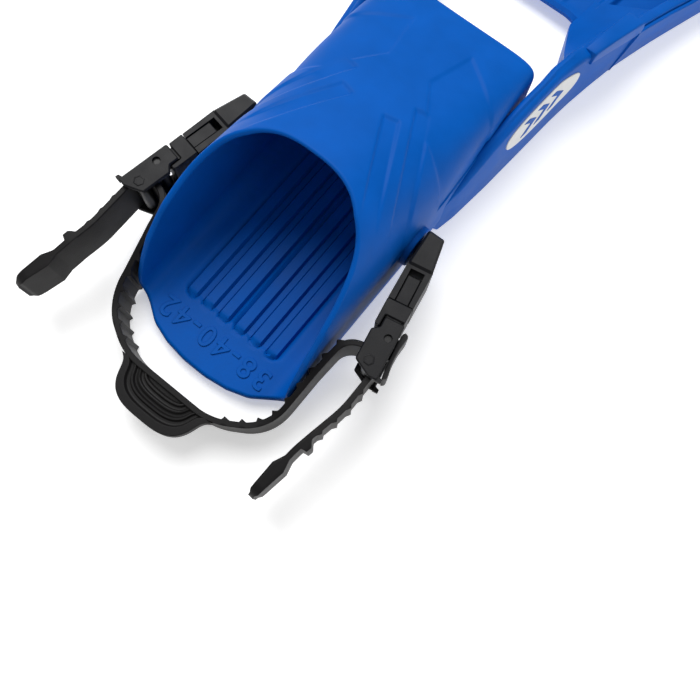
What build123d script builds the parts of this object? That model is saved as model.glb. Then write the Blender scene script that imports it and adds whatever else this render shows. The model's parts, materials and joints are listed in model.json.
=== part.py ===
"""Open-heel swim fin with quick-release buckles and a rubber heel strap.

Millimetres. +Z up, +Y towards the blade tip, +X towards the wearer's right.
The origin is on the floor, under the middle of the heel seat.
"""
import os
from math import cos, radians, sin

from build123d import *

# ---- foot pocket -----------------------------------------------------------
POCKET_HALF_WIDTH = 50.0      # outer half-width over the instep
TOE_HALF_WIDTH = 47.5         # outer half-width at the open toe
POCKET_WALL = 3.0
SOLE_THICKNESS = 5.5
TREAD_HEIGHT = 3.5            # tread bars stand between the floor and the sole
SHOULDER_RISE = 25.0          # footbed to the widest level of the sides
INSTEP_RISE = 75.0            # footbed to the top of the opening's rim
TOE_RISE = 44.0               # footbed to the top of the toe opening
HEEL_REACH = 26.0             # heel plate behind the origin
HEEL_FLAT = 15.0              # rim's foot ahead of the heel plate's edge
RIM_TOP_Y = 76.0              # where the rim crosses the middle
TOE_Y = 190.0                 # front edge of the pocket
BOTTOM_CORNER = 12.0          # radius between sole and side
DOME_POWER = 2.7              # squareness of the instep's arch
TOE_POWER = 4.5               # squareness of the toe's arch
FOOTBED_RIBS = 6
RIB_PITCH = 10.64
RIB_WIDTH = 6.6
RIB_HEIGHT = 0.9
TREAD_PITCH = 24.0
TREAD_WIDTH = 12.0
TREAD_HALF_LENGTH = 36.0

# ---- side arms and blade ---------------------------------------------------
ARM_START_Y = 110.0
ARM_END_Y = 258.0
ARM_WALL = 12.0
SOCKET_HALF_GAP = 0.15        # blade tenon to arm socket, each side
TENON_WIDTH = 6.0
TENON_LENGTH = 30.0
TENON_LOW = 8.0
TENON_HIGH = 30.0
BLADE_HALF_WIDTH = 108.0
BLADE_ROOT_GAP = 4.0          # arm end to the root of the panel
BLADE_LENGTH = 254.0          # arm end to blade tip
PANEL_LOW = 8.0
PANEL_THICKNESS = 3.2
BEAM_WIDTH = 9.0
BEAM_ROOT_HEIGHT = 30.0
BEAM_TIP_HEIGHT = 15.0
CHANNEL_RIBS = 5
CHANNEL_RIB_HEIGHT = 3.0
CHANNEL_SPREAD = 42.0         # outermost rib's distance from the middle at the root
ARM_SPREAD = 22.5             # arms stand out this far beyond the pocket at their ends
EDGE_RAIL_WIDTH = 2.4

# ---- stud, anchor clip and buckle ------------------------------------------
STUD_STANDOFF = 6.5           # boss face to the middle of the clip
STUD_Y = 86.0
STUD_Z = 30.5
STUD_SHAFT_R = 4.5
STUD_HEAD_R = 6.5
STUD_HEAD_THICKNESS = 2.4
BOSS_R = 11.0
BOSS_PROUD = 3.0
RUNNING_GAP = 0.06            # radial clearance of shafts in holes
SIDE_GAP = 0.3                # clearance between moving flat faces
SPLAY_DEG = 11.0              # buckle axis turned outwards from the foot
STRAP_SIDE_ROOM = 1.0         # strap edge to cheek plate
CLIP_SIDE_WALL = 2.1
CLIP_ROOF = 3.5
CLIP_CAP_END = 13.0
CLIP_MOUTH = 32.0
CAVITY_HALF_WIDTH = 4.2
SLOT_START = 14.5
SLOT_HALF_WIDTH = 3.7
LATCH_CATCH_ROOM = 3.2        # slot's end to the latch's tip
BAND_START = 32.6
BAND_END = 40.5
CHEEK_THICKNESS = 2.5
CHEEK_END = 70.5
LEVER_PIN_S = 50.6
LEVER_PIN_T = 2.3
ROLLER_PIN_S = 63.5
ROLLER_PIN_T = -1.0
PIN_R = 1.5
PIN_SINK = 1.4                # lever pin's ends below the cheek plates' faces
ROLLER_R = 3.0
LEVER_HUB_R = 3.4

# ---- heel strap ------------------------------------------------------------
STRAP_WIDTH = 22.0
STRAP_THICKNESS = 3.0
STRAP_GAP = 0.3               # strap to roller
HEEL_ROOM = 17.3              # heel plate's edge to the strap's centre line
LOOP_CLEARANCE = 4.0          # pocket's side to the strap's centre line
TOOTH_PITCH = 8.7
TOOTH_HEIGHT = 1.8
TOOTH_LENGTH = 3.6
TAB_HALF_WIDTH = 25.0
TAB_REACH = 20.5
TAB_THICKNESS = 6.5
GRIP_LENGTH = 23.0
GRIP_THICKNESS = 7.0

# ---- worked out ------------------------------------------------------------
FOOTBED_Z = TREAD_HEIGHT + SOLE_THICKNESS
SHOULDER_Z = FOOTBED_Z + SHOULDER_RISE
INSTEP_Z = FOOTBED_Z + INSTEP_RISE
TOE_Z = FOOTBED_Z + TOE_RISE
BLADE_ROOT_Y = ARM_END_Y + BLADE_ROOT_GAP
BLADE_TIP_Y = ARM_END_Y + BLADE_LENGTH
HALF_HEIGHT = STRAP_WIDTH / 2 + STRAP_SIDE_ROOM + CHEEK_THICKNESS
CHEEK_INNER_Z = HALF_HEIGHT - CHEEK_THICKNESS
CLIP_WIDTH = 2 * (CAVITY_HALF_WIDTH + CLIP_SIDE_WALL)
CAVITY_HALF_HEIGHT = HALF_HEIGHT - CLIP_ROOF
HEEL_LOOP_Y = -HEEL_REACH - HEEL_ROOM
LOOP_HALF_WIDTH = POCKET_HALF_WIDTH + LOOP_CLEARANCE
WRAP_R = ROLLER_R + STRAP_GAP + STRAP_THICKNESS / 2
BOSS_FACE_X = POCKET_HALF_WIDTH + BOSS_PROUD
STUD_X = BOSS_FACE_X + STUD_STANDOFF
BUCKLE_PLANE = Plane(
    origin=(STUD_X, STUD_Y, STUD_Z),
    x_dir=(sin(radians(SPLAY_DEG)), -cos(radians(SPLAY_DEG)), 0),
    z_dir=(0, 0, 1),
)
FAR = 400.0


def on_buckle(shape):
    """Put a shape drawn in buckle axes (s back, t out, z up) on the right side."""
    return BUCKLE_PLANE.location * shape


def buckle_point(s, t):
    """Plan position of a point given in the right buckle's axes."""
    place = BUCKLE_PLANE.from_local_coords(Vector(s, t, 0))
    return place.X, place.Y


def slab(points, low, high, corner=0.0):
    """Upright prism over a closed outline, its upright edges rounded."""
    face = make_face(Polyline(*points, close=True))
    if corner:
        face = fillet(face.vertices(), corner)
    return Pos(0, 0, low) * extrude(face, high - low)


def box(x0, x1, y0, y1, z0, z1):
    """Box between two corners."""
    centre = Pos((x0 + x1) / 2, (y0 + y1) / 2, (z0 + z1) / 2)
    return centre * Box(x1 - x0, y1 - y0, z1 - z0)


def along_x(radius, x0, x1):
    """Cylinder on the right stud's axis between two X levels."""
    centre = Pos((x0 + x1) / 2, STUD_Y, STUD_Z)
    return centre * Rot(0, 90, 0) * Cylinder(radius, x1 - x0)


def side_prism(points):
    """Prism across the whole fin over an outline given as (y, z)."""
    face = make_face(Plane.YZ * Polyline(*points, close=True))
    return extrude(face, FAR / 2, both=True)


# ---- foot pocket -----------------------------------------------------------
def crown(y):
    """Height of the pocket's outer top line at y."""
    slope = (TOE_Z - INSTEP_Z) / (TOE_Y - RIM_TOP_Y)
    return INSTEP_Z + slope * (y - RIM_TOP_Y)


def pocket_section(y, inset):
    """Closed D-shaped section of the pocket at y, drawn in by inset."""
    share = max(0.0, (y - ARM_START_Y) / (TOE_Y - ARM_START_Y))
    half = POCKET_HALF_WIDTH + (TOE_HALF_WIDTH - POCKET_HALF_WIDTH) * share - inset
    power = DOME_POWER + (TOE_POWER - DOME_POWER) * share
    rise = crown(y) - SHOULDER_Z - inset
    bottom = TREAD_HEIGHT if inset == 0 else FOOTBED_Z
    corner = BOTTOM_CORNER - inset
    arch = []
    for degrees in (0, 18, 36, 54, 72, 90, 108, 126, 144, 162, 180):
        c = round(cos(radians(degrees)), 9)
        s = round(sin(radians(degrees)), 9)
        side = 1 if c >= 0 else -1
        x = side * half * abs(c) ** (2 / power)
        arch.append((x, SHOULDER_Z + rise * abs(s) ** (2 / power)))
    top = Spline(*arch, tangents=[(0, 1), (0, -1)])
    sides = [
        Line((-half, SHOULDER_Z), (-half, bottom + corner)),
        RadiusArc((-half, bottom + corner), (corner - half, bottom), -corner),
        Line((corner - half, bottom), (half - corner, bottom)),
        RadiusArc((half - corner, bottom), (half, bottom + corner), -corner),
        Line((half, bottom + corner), (half, SHOULDER_Z)),
    ]
    upright = Plane(origin=(0, y, 0), x_dir=(1, 0, 0), z_dir=(0, -1, 0))
    return upright * make_face([top] + sides)


def pocket_loft(inset, y0, y1):
    """Solid through the pocket's sections from y0 to y1."""
    middle = (ARM_START_Y, (ARM_START_Y + TOE_Y) / 2)
    stations = [y0, RIM_TOP_Y, middle[0], middle[1], y1]
    return loft([pocket_section(y, inset) for y in stations])


def rim_cut():
    """Everything above the slanted opening, seen from the side."""
    rise = INSTEP_RISE
    foot = HEEL_FLAT - HEEL_REACH
    line = Spline(
        (foot, 0.0), (foot + 2.0, 0.15 * rise), (5.0, 0.44 * rise), (20.0, 0.62 * rise),
        (37.0, 0.755 * rise), (51.0, 0.86 * rise), (63.0, 0.96 * rise), (RIM_TOP_Y, 1.02 * rise),
    )
    outline = [
        line,
        Line((RIM_TOP_Y, 1.02 * rise), (RIM_TOP_Y, 2 * rise)),
        Line((RIM_TOP_Y, 2 * rise), (-4 * HEEL_REACH, 2 * rise)),
        Line((-4 * HEEL_REACH, 2 * rise), (-4 * HEEL_REACH, 0.0)),
        Line((-4 * HEEL_REACH, 0.0), (foot, 0.0)),
    ]
    face = make_face([Plane.YZ * edge for edge in outline])
    return Pos(0, 0, FOOTBED_Z) * extrude(face, FAR / 2, both=True)


def heel_outline():
    """Plan outline of the sole, a tongue with two low corners at the heel."""
    half = POCKET_HALF_WIDTH
    edge = -HEEL_REACH
    right = [(half + 10, edge + 18), (0.93 * half, edge + HEEL_FLAT), (0.79 * half, edge + 11)]
    right += [(0.63 * half, edge + 5.5), (0.40 * half, edge + 1.8), (0.14 * half, edge)]
    left = [(-x, y) for x, y in reversed(right)]
    corners = right + left + [(-half - 10, TOE_Y), (half + 10, TOE_Y)]
    return slab(corners, 0, FAR / 2)


def footbed_ribs():
    """Long raised ribs with round ends on the footbed."""
    length = TOE_Y - 6.0
    ribs = []
    for index in range(FOOTBED_RIBS):
        x = (index - (FOOTBED_RIBS - 1) / 2) * RIB_PITCH
        slot = Pos(x, length / 2, FOOTBED_Z) * Rot(0, 0, 90) * SlotOverall(length, RIB_WIDTH)
        ribs.append(extrude(slot, RIB_HEIGHT))
    return ribs


def treads():
    """Bars across the underside that the shoe stands on."""
    bars = []
    for index in range(8):
        y = index * TREAD_PITCH
        half = TREAD_WIDTH / 2
        high = TREAD_HEIGHT + 1.0
        bars.append(box(-TREAD_HALF_LENGTH, TREAD_HALF_LENGTH, y - half, y + half, 0, high))
    return bars


def arm_y(share):
    """Place along the arm, as a share of the way from its start to its end."""
    return ARM_START_Y + share * (ARM_END_Y - ARM_START_Y)


def arm_plan():
    """Plan outline of the right side arm, a wedge that grows into a wall."""
    w = POCKET_HALF_WIDTH
    outer = [(w - 0.6, ARM_START_Y)]
    for share, spread in ((0.095, 3), (0.27, 6), (0.473, 8), (0.642, 10), (0.824, 15)):
        outer.append((w + spread, arm_y(share)))
    outer.append((w + ARM_SPREAD, ARM_END_Y))
    inner = [(x - ARM_WALL, y) for x, y in outer]
    inner[0] = (w - 3.0, ARM_START_Y)
    inner[1] = (w - 6.0, arm_y(0.095))
    outer_edge = Spline(*outer)
    inner_edge = Spline(*inner)
    ends = [Line(outer[0], inner[0]), Line(outer[-1], inner[-1])]
    return make_face([outer_edge, inner_edge] + ends)


def arm_profile():
    """Side profile of the arms, highest beside the toe opening."""
    base = FOOTBED_Z
    return side_prism([
        (ARM_START_Y, 0), (ARM_START_Y, base + 24), (arm_y(0.095), base + 32),
        (arm_y(0.27), base + 40), (arm_y(0.473), base + 45.5), (arm_y(0.649), base + 43),
        (arm_y(0.784), base + 37), (arm_y(0.791), base + 33), (ARM_END_Y, base + 27),
        (ARM_END_Y, 0),
    ])


def tenon(side_gap, end_gap):
    """Tongue at the root of the blade's right beam."""
    direction = (ARM_SPREAD - 15.0) / (ARM_END_Y - arm_y(0.824))
    x_end = POCKET_HALF_WIDTH + ARM_SPREAD - ARM_WALL / 2
    x_start = x_end - direction * TENON_LENGTH
    half = TENON_WIDTH / 2 + side_gap
    y_start = ARM_END_Y - TENON_LENGTH - end_gap
    points = [
        (x_start - half, y_start), (x_start + half, y_start),
        (x_end + half, ARM_END_Y + 1), (x_end - half, ARM_END_Y + 1),
    ]
    return slab(points, TENON_LOW - side_gap, TENON_HIGH + side_gap)


def make_foot_pocket():
    """Shoe with footbed, treads, stud bosses and the two side arms."""
    inside = pocket_loft(POCKET_WALL, -HEEL_REACH - 20, TOE_Y + 8)
    shell = (pocket_loft(0.0, -HEEL_REACH - 10, TOE_Y) & heel_outline()) - rim_cut()
    arm = extrude(arm_plan(), FAR / 4) & arm_profile()
    arm = (arm - inside) - tenon(SOCKET_HALF_GAP, SOCKET_HALF_GAP)
    boss = along_x(BOSS_R, POCKET_HALF_WIDTH - POCKET_WALL / 2, BOSS_FACE_X)
    blind = along_x(STUD_SHAFT_R, POCKET_HALF_WIDTH - 1.0, BOSS_FACE_X + 1)
    right = (shell - inside) & box(0, FAR / 4, -FAR / 4, FAR, 0, FAR / 4)
    right = ((right + arm) + boss) - blind
    whole = right + mirror(right, Plane.YZ)
    return whole + treads() + footbed_ribs()


# ---- blade -----------------------------------------------------------------
def blade_edge():
    """Right outer edge of the blade from the arm to the tip corner."""
    start_x = POCKET_HALF_WIDTH + ARM_SPREAD
    growth = BLADE_HALF_WIDTH - start_x
    stations = (
        (0.0, 0.0), (0.11, 0.197), (0.244, 0.493), (0.382, 0.817), (0.539, 0.972), (0.677, 1.0),
        (0.835, 0.944), (0.961, 0.775),
    )
    return [(start_x + across * growth, ARM_END_Y + along * BLADE_LENGTH) for along, across in stations]


def beam():
    """Right side beam of the blade, tapering towards the tip."""
    outer = [(x - EDGE_RAIL_WIDTH, y) for x, y in blade_edge()]
    inner = [(x - BEAM_WIDTH, y) for x, y in blade_edge()]
    edges = [Spline(*outer), Spline(*inner), Line(outer[0], inner[0]), Line(outer[-1], inner[-1])]
    return extrude(make_face(edges), FAR / 4) & beam_profile(0.0)


def beam_profile(drop):
    """Side profile of the beams and, lowered by drop, of the edge rails."""
    start = ARM_END_Y + 2 * SOCKET_HALF_GAP
    return side_prism([
        (start, 0), (start, BEAM_ROOT_HEIGHT - drop), (ARM_END_Y + 40, BEAM_ROOT_HEIGHT - 5 - drop),
        (BLADE_TIP_Y, BEAM_TIP_HEIGHT - drop), (BLADE_TIP_Y, 0),
    ])


def panel():
    """Thin blade panel with a scalloped tip."""
    right = [(x - BEAM_WIDTH / 2, y) for x, y in blade_edge()]
    right[0] = (right[0][0], BLADE_ROOT_Y + 2)
    left = [(-x, y) for x, y in reversed(right)]
    tip_right = right[-1]
    tip_left = left[0]
    half = POCKET_HALF_WIDTH
    root = [(4 - half, BLADE_ROOT_Y - 4), (20 - half, BLADE_ROOT_Y)]
    root += [(half - 20, BLADE_ROOT_Y), (half - 4, BLADE_ROOT_Y - 4)]
    notch = (0, BLADE_TIP_Y - 14)
    edges = [
        Spline(*right),
        ThreePointArc(tip_right, (BLADE_HALF_WIDTH / 2, BLADE_TIP_Y), notch),
        ThreePointArc(notch, (-BLADE_HALF_WIDTH / 2, BLADE_TIP_Y), tip_left),
        Spline(*left),
        Polyline(left[-1], *root, right[0]),
    ]
    flat = [edge for group in edges for edge in group.edges()]
    return Pos(0, 0, PANEL_LOW) * extrude(make_face(flat), PANEL_THICKNESS)


def channel_ribs():
    """Ribs that run along the panel and spread with it."""
    ribs = []
    low = PANEL_LOW - CHANNEL_RIB_HEIGHT / 2
    high = PANEL_LOW + PANEL_THICKNESS + CHANNEL_RIB_HEIGHT
    for index in range(CHANNEL_RIBS):
        share = (index - (CHANNEL_RIBS - 1) / 2) / ((CHANNEL_RIBS - 1) / 2)
        x0 = share * CHANNEL_SPREAD
        x1 = share * (BLADE_HALF_WIDTH - 34)
        y0 = BLADE_ROOT_Y + 6
        y1 = BLADE_TIP_Y - 52
        points = [(x0 - 2.4, y0), (x0 + 2.4, y0), (x1 + 1.2, y1), (x1 - 1.2, y1)]
        ribs.append(slab(points, low, high, corner=1.0))
    return ribs


def make_blade():
    """Blade panel with beams, ribs and the two tenons."""
    right_tenon = tenon(0.0, 0.0)
    pieces = [beam(), mirror(beam(), Plane.YZ), right_tenon, mirror(right_tenon, Plane.YZ)]
    blade = panel() + pieces + channel_ribs()
    return blade


def make_edge_rail():
    """Soft strip along the right beam's outer side."""
    outer = blade_edge()
    inner = [(x - EDGE_RAIL_WIDTH, y) for x, y in outer]
    edges = [Spline(*outer), Spline(*inner), Line(outer[0], inner[0]), Line(outer[-1], inner[-1])]
    return extrude(make_face(edges), FAR / 4) & beam_profile(1.5)


# ---- stud and anchor clip --------------------------------------------------
def make_stud():
    """Mushroom stud set in the right boss."""
    head_x = STUD_X + 1.0
    shaft = along_x(STUD_SHAFT_R - 0.02, POCKET_HALF_WIDTH - 0.8, head_x)
    head = along_x(STUD_HEAD_R, head_x, head_x + STUD_HEAD_THICKNESS)
    return shaft + head


def make_anchor_clip():
    """Cap over the stud with a mouth that takes the buckle."""
    half = CLIP_WIDTH / 2
    cap_plan = [(-7, -4.4), (-5, -4.7), (CLIP_CAP_END, -half), (CLIP_CAP_END, half + 0.5)]
    cap_plan += [(2, 5.4), (-5.5, 4.4)]
    sleeve_plan = [(CLIP_CAP_END - 1, -half), (CLIP_MOUTH, -half - 0.6)]
    sleeve_plan += [(CLIP_MOUTH, half), (CLIP_CAP_END - 1, half + 0.5)]
    cap = rounded_plate(cap_plan, -HALF_HEIGHT, HALF_HEIGHT, 1.4, 1.2)
    sleeve = slab(sleeve_plan, -HALF_HEIGHT + 1.2, HALF_HEIGHT - 1.2)
    cavity_end = CLIP_MOUTH + 1
    wide = CAVITY_HALF_WIDTH
    cavity = box(CLIP_CAP_END, cavity_end, -wide, wide, -CAVITY_HALF_HEIGHT, CAVITY_HALF_HEIGHT)
    slot = box(SLOT_START, cavity_end, -SLOT_HALF_WIDTH, SLOT_HALF_WIDTH, -FAR / 8, FAR / 8)
    clip = on_buckle((cap + sleeve) - [cavity, slot])
    head_x = STUD_X + 1.0
    bore = along_x(STUD_SHAFT_R + RUNNING_GAP, BOSS_FACE_X - 1, head_x)
    room = SIDE_GAP + STUD_HEAD_THICKNESS
    pocket = along_x(STUD_HEAD_R + SIDE_GAP, head_x - SIDE_GAP, head_x + room)
    return clip - [bore, pocket]


# ---- buckle ----------------------------------------------------------------
def cheek_plan():
    """Outline of one cheek plate, round about the roller."""
    return [
        (BAND_END + 1.0, -3.6), (BAND_END + 1.0, 6.6), (CHEEK_END, 6.4),
        (CHEEK_END, 2.0), (65.5, -7.0), (49.5, -7.0), (47.0, -3.6),
    ]


def rounded_plate(points, low, high, corner, edge):
    """Plate with round corners and a small chamfer on its faces."""
    plate = slab(points, low, high, corner)
    rims = plate.edges().group_by(Axis.Z)
    return chamfer(rims[0] + rims[-1], edge)


def make_buckle_frame():
    """Frame with the tongue, cross band, hooks and two cheek plates."""
    high = HALF_HEIGHT - SIDE_GAP
    band = [(BAND_START, -6.9), (BAND_START, 6.2), (BAND_END, 6.0), (BAND_END, -4.2)]
    band += [(46.8, -4.4), (46.8, -6.4), (45.5, -7.0)]
    frame = rounded_plate(band, -high, high, 0.6, 0.4)
    web_end = LEVER_PIN_S - LEVER_HUB_R - 1.2
    frame = frame + box(BAND_END - 1, web_end, -3.2, 4.0, -CHEEK_INNER_Z - 1, CHEEK_INNER_Z + 1)
    core_half = CAVITY_HALF_WIDTH - SIDE_GAP
    frame = frame + box(CLIP_CAP_END + 2, BAND_START + 1, -core_half, core_half, -5.5, 5.5)
    upper = rounded_plate(cheek_plan(), CHEEK_INNER_Z, HALF_HEIGHT, 1.2, 0.6)
    lip = [(CHEEK_END - 2.6, 5.6), (CHEEK_END + 0.4, 5.6), (CHEEK_END + 0.4, 8.6)]
    lip += [(CHEEK_END - 1.4, 8.6)]
    frame = frame + [upper, mirror(upper, Plane.XY)]
    lip_inner = STRAP_WIDTH / 2 + SIDE_GAP
    frame = frame + slab(lip, lip_inner, HALF_HEIGHT - 0.8)
    frame = frame + slab(lip, -HALF_HEIGHT + 0.8, -lip_inner)
    hole = Cylinder(PIN_R + 0.02, FAR / 4)
    holes = [Pos(LEVER_PIN_S, LEVER_PIN_T) * hole, Pos(ROLLER_PIN_S, ROLLER_PIN_T) * hole]
    sink = Cylinder(PIN_R + 0.6, 2 * PIN_SINK)
    top = HALF_HEIGHT
    holes.append(Pos(LEVER_PIN_S, LEVER_PIN_T, top) * sink)
    holes.append(Pos(LEVER_PIN_S, LEVER_PIN_T, -top) * sink)
    return on_buckle(frame - holes)


def make_latch(sign):
    """Spring tongue in the clip's slot, upper for sign 1 and lower for sign -1."""
    half = SLOT_HALF_WIDTH - SIDE_GAP
    low = CAVITY_HALF_HEIGHT - 2.2
    start = SLOT_START + LATCH_CATCH_ROOM
    plan = [(start, -half), (BAND_START - SIDE_GAP, -half)]
    plan += [(BAND_START - SIDE_GAP, half), (start, half)]
    levels = sorted((sign * low, sign * (HALF_HEIGHT - 1.7)))
    return on_buckle(rounded_plate(plan, levels[0], levels[1], 0.5, 0.5))


def make_roller():
    """Plain sleeve that the strap runs round."""
    length = 2 * (CHEEK_INNER_Z - SIDE_GAP)
    body = Cylinder(ROLLER_R, length) - Cylinder(PIN_R + RUNNING_GAP, length)
    return on_buckle(Pos(ROLLER_PIN_S, ROLLER_PIN_T) * body)


def make_pin(s, t, sunk):
    """Straight pin through both cheek plates, its ends sunk by sunk."""
    return on_buckle(Pos(s, t) * Cylinder(PIN_R, 2 * (HALF_HEIGHT - sunk)))


def make_lever():
    """Release lever with a pawl, a thumb bump and a lipped tail."""
    half = CHEEK_INNER_Z - SIDE_GAP
    arm = [
        (44.2, 7.2), (43.6, 7.9), (44.6, 9.0), (46.5, 8.9), (51.0, 8.3), (56.0, 8.3),
        (62.0, 8.9), (66.6, 9.6), (68.2, 9.1), (67.6, 7.9), (62.0, 7.2), (57.5, 6.9),
        (54.2, 5.0), (57.4, 4.4), (56.8, 2.9), (52.0, 0.4), (48.0, 3.6), (48.0, 7.0),
    ]
    body = slab(arm, -half, half)
    hub = Pos(LEVER_PIN_S, LEVER_PIN_T) * Cylinder(LEVER_HUB_R, 2 * half)
    bore = Pos(LEVER_PIN_S, LEVER_PIN_T) * Cylinder(PIN_R + RUNNING_GAP, 2 * half)
    window = box(47.0, 55.0, -6.0, 6.4, -3.5, 3.5)
    return on_buckle((body + hub) - [bore, window])


def make_lever_spring():
    """Torsion coil round the lever pin, drawn as a sleeve with two legs."""
    coil = Cylinder(PIN_R + 0.9, 5.4) - Cylinder(PIN_R + 0.1, 5.4)
    coil = Pos(LEVER_PIN_S, LEVER_PIN_T) * coil
    front = box(LEVER_PIN_S - 4.2, LEVER_PIN_S - 1.7, LEVER_PIN_T - 2.2, LEVER_PIN_T - 1.4, 1.7, 2.5)
    rear = box(LEVER_PIN_S + 1.7, LEVER_PIN_S + 3.6, LEVER_PIN_T - 0.4, LEVER_PIN_T + 0.4, -2.5, -1.7)
    return on_buckle(coil + [front, rear])


# ---- heel strap ------------------------------------------------------------
ROLLER_X, ROLLER_Y = buckle_point(ROLLER_PIN_S, ROLLER_PIN_T)
TAIL_X = ROLLER_X + WRAP_R
ENTRY_Y = ROLLER_Y + WRAP_R
RIGHT_TAIL = [(TAIL_X, -1.0), (TAIL_X - 5.5, -28.0), (TAIL_X - 8.5, -56.0)]
LEFT_TAIL = [(-TAIL_X, -6.0), (-TAIL_X - 3.5, -28.0), (-TAIL_X - 9.0, -50.0)]


def loop_half():
    """Plan points of the loop's right half, from the heel to the roller."""
    half = LOOP_HALF_WIDTH
    points = [(half / 2, HEEL_LOOP_Y), (half - 3.0, HEEL_LOOP_Y + 14.3), (half - 0.5, 5.0)]
    points += [(half + 2.0, ENTRY_Y), (TAIL_X, ENTRY_Y)]
    radii = [34.0, 26.0, 60.0, 11.0, WRAP_R]
    return points, radii


def strap_path():
    """Centre line of the strap from the right tail's tip to the left one's."""
    points, radii = loop_half()
    mirrored = [(-x, y) for x, y in points]
    route = RIGHT_TAIL[::-1] + points[::-1] + mirrored + LEFT_TAIL
    bends = [60.0, 60.0] + radii[::-1] + radii + [60.0, 60.0]
    return FilletPolyline(*route, radius=bends)


def strap_profile():
    """Side profile of the strap, low at the heel and high at the buckles."""
    drop = STUD_Z - STRAP_WIDTH / 2
    high = STRAP_WIDTH
    return side_prism([
        (-80, 0), (-30, 0), (24, drop), (60, drop), (60, drop + high), (22, drop + high),
        (-32, high), (-80, high),
    ])


def tail_profile():
    """Side profile of the strap's tails, level with the buckles."""
    drop = STUD_Z - STRAP_WIDTH / 2
    high = STRAP_WIDTH
    return side_prism([
        (-80, drop - 6), (-20, drop), (60, drop), (60, drop + high), (-20, drop + high),
        (-80, drop + high - 6),
    ])


def tooth(path, distance, outward):
    """Wedge across the strap at a distance along its path."""
    here = path.position_at(distance, position_mode=PositionMode.LENGTH)
    along = path.tangent_at(distance, position_mode=PositionMode.LENGTH)
    plane = Plane(origin=here, x_dir=along, z_dir=(0, 0, 1))
    root = outward * (STRAP_THICKNESS / 2 - 0.4)
    tip = outward * (STRAP_THICKNESS / 2 + TOOTH_HEIGHT)
    wedge = Polyline((-TOOTH_LENGTH / 2, root), (TOOTH_LENGTH / 2, root), (0.6, tip), close=True)
    return extrude(plane * make_face(wedge), FAR / 8)


def pull_tab():
    """Finger tab behind the heel at the strap's upper edge."""
    base = HEEL_LOOP_Y - STRAP_THICKNESS / 2 + 0.8
    end = HEEL_LOOP_Y - TAB_REACH
    w = TAB_HALF_WIDTH
    edges = [
        Line((-w - 3, base), (w + 3, base)),
        Spline((w + 3, base), (w - 3, base - 8), (w * 0.55, end + 2.2), (0, end),
               (-w * 0.55, end + 2.2), (3 - w, base - 8), (-w - 3, base)),
    ]
    top = STRAP_WIDTH
    plate = Pos(0, 0, top - TAB_THICKNESS) * extrude(make_face(edges), TAB_THICKNESS)
    return plate


def grip(tail):
    """Thick finger grip at the end of a tail."""
    end = Vector(*tail[-1])
    back = (Vector(*tail[-2]) - end).normalized()
    plane = Plane(origin=end, x_dir=back, z_dir=(0, 0, 1))
    half = GRIP_THICKNESS / 2
    points = [
        (-1.5, 0.8), (1.5, half - 1.2), (GRIP_LENGTH - 6, half), (GRIP_LENGTH, 1.2),
        (GRIP_LENGTH, -1.2), (GRIP_LENGTH - 6, -half), (1.5, 1.2 - half), (-1.5, -0.8),
    ]
    return extrude(plane * make_face(Polyline(*points, close=True)), FAR / 8)


def stop_lug(tail, outward):
    """Lug that keeps the tail's end from running back through the buckle."""
    end = Vector(*tail[-1])
    back = (Vector(*tail[-2]) - end).normalized()
    plane = Plane(origin=end, x_dir=back, z_dir=(0, 0, 1))
    near = GRIP_LENGTH + 7
    points = [(near, 0), (near + 1, outward * 4.6), (near + 5, outward * 5.0), (near + 8, 0)]
    return extrude(plane * make_face(Polyline(*points, close=True)), FAR / 8)


def strap_teeth(path):
    """Teeth on the foot side of the loop and on the outside of the tails."""
    teeth = []
    half = path.length / 2
    roller = path_distance_to_roller()
    reach = half - roller
    for index in range(9):
        offset = 34.0 + index * TOOTH_PITCH
        if offset < reach - 10.0:
            teeth.append(tooth(path, half - offset, -1))
            teeth.append(tooth(path, half + offset, -1))
    for index in range(4):
        back = roller - 16.0 - index * TOOTH_PITCH
        teeth.append(tooth(path, back, -1))
        teeth.append(tooth(path, path.length - back, -1))
    return teeth


def path_distance_to_roller():
    """Length of the path from a tail's tip to the roller's bend."""
    tail = FilletPolyline(*(RIGHT_TAIL[::-1] + [(TAIL_X, ENTRY_Y)]), radius=[60.0, 60.0])
    return tail.length


def make_heel_strap():
    """Whole strap: loop, teeth, heel tab, tails with lugs and grips."""
    path = strap_path()
    start = Plane(origin=path @ 0, z_dir=path % 0, x_dir=(0, 0, 1))
    band = sweep(start * Pos(FAR / 16, 0) * Rectangle(FAR / 8, STRAP_THICKNESS), path)
    teeth = strap_teeth(path)
    band = band + teeth
    split = LOOP_HALF_WIDTH + 9.5
    loop_zone = box(-split, split, -80, 60, -1, FAR / 4)
    loop = (band & loop_zone) & strap_profile()
    ends = (band - loop_zone) + [grip(RIGHT_TAIL), grip(LEFT_TAIL)]
    ends = ends + [stop_lug(RIGHT_TAIL, -1), stop_lug(LEFT_TAIL, 1)]
    ends = ends & tail_profile()
    return loop + ends + pull_tab()


def both_sides(name, shape):
    """The right piece and its mirror image under two node names."""
    return {"right_" + name: shape, "left_" + name: mirror(shape, Plane.YZ)}


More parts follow.
